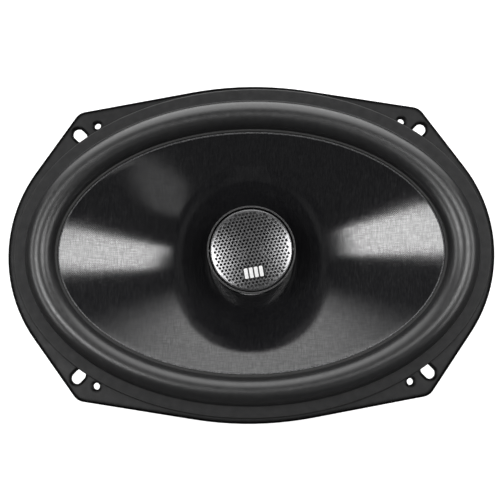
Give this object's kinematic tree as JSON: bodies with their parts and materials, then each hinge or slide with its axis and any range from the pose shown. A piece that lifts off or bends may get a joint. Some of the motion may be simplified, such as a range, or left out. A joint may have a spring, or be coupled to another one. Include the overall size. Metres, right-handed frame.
{
  "type": "coaxial car speaker",
  "caption": "Oval coaxial car speaker with a tabbed steel frame, rubber surround, woven cone and a swivelling tweeter under a perforated grille on a post.",
  "frame": {"origin": "centre of the mounting plane, the rear face of the gasket under the frame's flange", "axes": "+Z is the way the speaker radiates, +X along the oval's long axis, the terminals are towards -Y"},
  "size_m": [0.235, 0.164, 0.0925],
  "materials": {
    "basket": "black powder coat",
    "gasket": "closed-cell foam",
    "surround": "dark grey satin rubber",
    "cone": "glossy black with a very fine weave",
    "former": "thin rolled sheet",
    "winding": "enamelled copper wire",
    "dust_ring": "open cloth",
    "spider": "resin-treated cloth",
    "glue": "glossy adhesive",
    "tinsel": "braided tinsel and thread",
    "zinc_steel": "zinc plated",
    "ferrite": "sintered ferrite",
    "rivet": "plated",
    "post": "plated",
    "lead": "insulated wire",
    "board": "phenolic board",
    "blade": "tinned brass",
    "capacitor": "shrink sleeve",
    "wire": "tinned wire",
    "housing": "glossy black",
    "pin": "turned",
    "capsule": "matt black",
    "neodymium": "nickel plated",
    "dome": "formed film",
    "dome_roll": "coated cloth",
    "mesh": "dark nickel, perforated",
    "badge": "plain plate"
  },
  "bodies": {
    "frame": {"basket": "basket", "mounting_gasket": "gasket", "surround": "surround", "spider": "spider", "tinsel_lead_left": "tinsel", "tinsel_lead_right": "tinsel", "top_plate": "zinc_steel", "ferrite_magnet": "ferrite", "t_yoke": "zinc_steel", "plate_rivets": "rivet", "tweeter_post": "post", "post_washer": "zinc_steel", "post_nut": "zinc_steel", "post_clip": "pin", "tweeter_leads": "lead", "terminal_board": "board", "terminal_tab_wide": "blade", "terminal_tab_narrow": "blade", "tab_rivets": "rivet", "board_rivets": "rivet", "crossover_capacitor": "capacitor", "capacitor_leads": "wire"},
    "cone_assembly": {"cone": "cone", "voice_coil_former": "former", "voice_coil_winding": "winding", "dust_ring": "dust_ring", "lead_glue_dabs": "glue"},
    "tweeter_housing_body": {"tweeter_housing": "housing", "trunnion_pins": "pin", "capsule_pigtails": "lead"},
    "tweeter_capsule_body": {"tweeter_capsule": "capsule", "tweeter_cup": "zinc_steel", "tweeter_magnet": "neodymium", "tweeter_pole_plate": "zinc_steel", "dome_frame": "capsule", "dome_surround": "dome_roll", "mesh_grille": "mesh", "badge": "badge"},
    "dome_assembly": {"tweeter_dome": "dome", "tweeter_coil": "winding"}
  },
  "joints": [
    {"name": "cone_travel", "type": "slide", "parent": "frame", "child": "cone_assembly", "axis": [0, 0, 1], "range_m": [-0.005, 0.005], "stiffness_N_per_m": 1500, "deforming": ["surround", "spider", "tinsel_lead_left", "tinsel_lead_right"]},
    {"name": "tweeter_turn", "type": "hinge", "parent": "frame", "child": "tweeter_housing_body", "pos_m": [0, 0, -0.0075], "axis": [0, 0, 1], "range_deg": [-30, 30]},
    {"name": "tweeter_tilt", "type": "hinge", "parent": "tweeter_housing_body", "child": "tweeter_capsule_body", "pos_m": [0, 0, 0.007], "axis": [1, 0, 0], "range_deg": [-8, 8], "deforming": ["capsule_pigtails"]},
    {"name": "tweeter_dome_travel", "type": "slide", "parent": "tweeter_capsule_body", "child": "dome_assembly", "axis": [0, 0, 1], "range_m": [-0.0003, 0.0003], "stiffness_N_per_m": 3000, "deforming": ["dome_surround"]}
  ]
}
